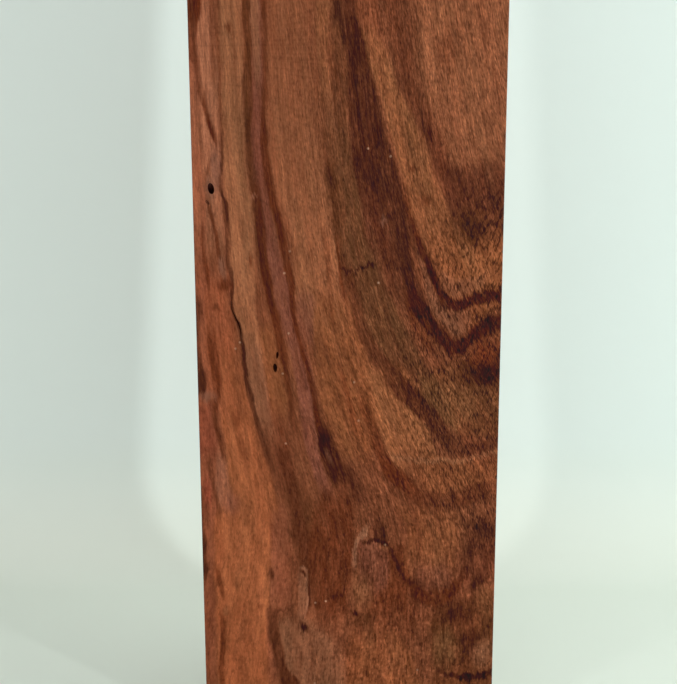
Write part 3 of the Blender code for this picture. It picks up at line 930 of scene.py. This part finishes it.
def markTones(add, shown, figurePlace, fray):
    for tone, x, z, halfWidth, halfHeight, lean, strength in spots:
        mark = add("Mapping", {
            "Vector": figurePlace,
            "Location": (x, z, 0),
            "Rotation": (0, 0, -math.radians(lean)),
            "Scale": (halfWidth, halfHeight, markDepth * halfWidth),
        }, vector_type="TEXTURE")
        out = add("VectorMath", [mark], operation="LENGTH").outputs["Value"]
        shape = add("MapRange", [out, *markBlur, strength, 0], **smooth)
        frayed = add("Math", [shape, fray], operation="MULTIPLY")
        mixed = {mixShare: frayed, mixBelow: shown, mixAbove: hexColour(tones[tone])}
        shown = add("Mix", mixed, data_type="RGBA").outputs[mixResult]
    return shown


def speckTones(add, shown, placeMm):
    near = None
    for x, z in specks:
        off = add("VectorMath", [placeMm, (x, boardLow.y / mm, z)], operation="DISTANCE")
        off = off.outputs["Value"]
        near = off if near is None else add("Math", [near, off], operation="MINIMUM")
    pale = add("MapRange", [near, speck["core"], speck["size"], speck["strength"], 0], **smooth)
    mixed = {mixShare: pale, mixBelow: shown, mixAbove: hexColour(speck["tone"])}
    return add("Mix", mixed, data_type="RGBA").outputs[mixResult]


def dashValue(add, value, figurePlace, x, y, z):
    # short dark dashes, thick in an oval at the right
    perWidth, perHeight = 1 / dashed["halfWidth"], 1 / dashed["halfHeight"]
    middle = (-dashed["x"] * perWidth, -dashed["z"] * perHeight, 0)
    inOval = [figurePlace, (perWidth, perHeight, 0), middle]
    ovalPlace = add("VectorMath", inOval, operation="MULTIPLY_ADD")
    out = add("VectorMath", [ovalPlace], operation="LENGTH").outputs["Value"]
    share = add("MapRange", [out, *dashed["fade"], 1, dashed["least"]], **smooth)
    turn = dashed["turn"]
    turned = add("Math", [z, -turn, turn * dashed["turnZ"]], operation="MULTIPLY_ADD")
    fromTurn = add("Math", [x, dashed["turnX"]], operation="SUBTRACT")
    dashX = add("Math", [fromTurn, turned, x], operation="MULTIPLY_ADD")
    dashPlace = add("CombineXYZ", [dashX, y, z])
    dash = grainLayer(add, dashes, dashPlace)
    dark = add("Math", [dash, share], operation="MULTIPLY")
    left = add("Math", [1, dark], operation="SUBTRACT")
    return add("Math", [value, left], operation="MULTIPLY")


def makeWood():
    wood = bpy.data.materials.new("sanded granadillo")
    wood.use_nodes = True
    tree = wood.node_tree
    shader = tree.nodes["Principled BSDF"]
    add = partial(addNode, tree)
    place = add("TexCoord").outputs["Object"]
    placeMm = add("VectorMath", {0: place, "Scale": 1 / mm}, operation="SCALE")
    x, y, z = add("SeparateXYZ", [placeMm]).outputs
    depth, faceX, faceZ, ringPlace = followRings(add, x, y, z)
    fibrePlace = followFibres(add, x, y, z)
    figureX, figureZ = figurePlaces(add, placeMm, fibrePlace, faceX, faceZ)
    curveX = add("Math", [figureX, curveUnit], operation="DIVIDE")
    curveZ = add("Math", [figureZ, 1 / curveUnit, -middleZ / curveUnit], operation="MULTIPLY_ADD")
    rowX = add("CombineXYZ", [curveX, curveX, curveX])
    rowZ = add("CombineXYZ", [curveZ, curveZ, curveZ])
    fray = grainLayer(add, patches, fibrePlace)
    figurePlace = add("CombineXYZ", [figureX, figureZ, depth])

    shown = streakTones(add, hexColour(tones["ground"]), rowX, rowZ, fray)
    shown = markTones(add, shown, figurePlace, fray)
    shown = speckTones(add, shown, placeMm)
    # some fibres are redder and some more olive
    hueShare = grainLayer(add, hues, fibrePlace)
    mixed = {mixShare: hueShare, mixBelow: hueTints["redder"], mixAbove: hueTints["moreOlive"]}
    tint = add("Mix", mixed, data_type="RGBA").outputs[mixResult]
    mixed = {mixShare: 1, mixBelow: shown, mixAbove: tint}
    shown = add("Mix", mixed, data_type="RGBA", blend_type="MULTIPLY").outputs[mixResult]

    # the fine grain, with its painted glints, is calmer on the left of the board than on its right
    lively = add("MapRange", [faceX, calm["from"], calm["to"], calm["least"], 1], **smooth)
    broad = grainValue(add, broadGrain, fibrePlace, ringPlace)
    fine = grainValue(add, fineGrainAndGlints, fibrePlace, ringPlace)
    calmed = add("Math", [fine, lively], operation="POWER")
    value = add("Math", [broad, calmed], operation="MULTIPLY")
    value = dashValue(add, value, figurePlace, x, y, z)
    # painted shade: the faces down in the tunnel, the pits and the crack are darkened, as little light
    # comes back from there; the sawn ends soak up more oil and are darker
    for name, darker in (("hollowShade", surface["hollowShadeDarker"]), ("sawn", surface["sawnDarker"])):
        share = add("Attribute", attribute_name=name).outputs["Fac"]
        left = add("Math", [share, -darker, 1], operation="MULTIPLY_ADD")
        value = add("Math", [value, left], operation="MULTIPLY")
    grained = add("HueSaturation", {"Color": shown, "Value": value})
    # the satin surface lays a faint veil over the wood, so the wood below it is that much darker
    mixed = {mixShare: 1, mixBelow: grained, mixAbove: (*veil, 1)}
    unveiled = add("Mix", mixed, data_type="RGBA", blend_type="SUBTRACT").outputs[mixResult]
    tree.links.new(unveiled, shader.inputs["Base Color"])

    # sanding leaves the pores a little open: the same layer dips and dulls the surface there
    sanded = grainLayer(add, relief, fibrePlace)
    dulled = add("MapRange", [sanded, 0, 1, *surface["roughness"]], clamp=False)
    tree.links.new(dulled.outputs[0], shader.inputs["Roughness"])
    dipped = add("Bump", {"Height": sanded, "Distance": relief["depth"], "Strength": 1})
    tree.links.new(dipped.outputs[0], shader.inputs["Normal"])
    shader.inputs["Specular IOR Level"].default_value = surface["specular"]
    return wood


def markFaces(mesh):
    # for the wood: the painted shade rises to 1 on the faces down in the tunnel, the pits and the
    # crack, and sawn is 1 on the two ends
    hollowShade = mesh.attributes.new("hollowShade", "FLOAT", "FACE")
    sawn = mesh.attributes.new("sawn", "FLOAT", "FACE")
    for face in mesh.polygons:
        middle = face.center
        deep = middle.y - boardLow.y
        aside = min(middle.x - boardLow.x, boardHigh.x - middle.x)
        fromEnd = min(middle.z - boardLow.z, boardHigh.z - middle.z)
        if min(aside, fromEnd) > boardShape["arrisRound"] and deep < boardHigh.y:
            hollowShade.data[face.index].value = min(1, max(0, deep / boardShape["hollowShadeDepth"]))
        sawn.data[face.index].value = abs(face.normal.z) > boardShape["sawnRise"]


board, cutters = makeBoard()
board.data.materials.append(makeWood())
print("wood made")
graph = bpy.context.evaluated_depsgraph_get()
finished = bpy.data.meshes.new_from_object(board.evaluated_get(graph))
board.modifiers.clear()
board.data = finished
markFaces(finished)
for cutter in cutters:
    bpy.data.objects.remove(cutter)
print("board cut")
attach(board, "root")
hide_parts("board")
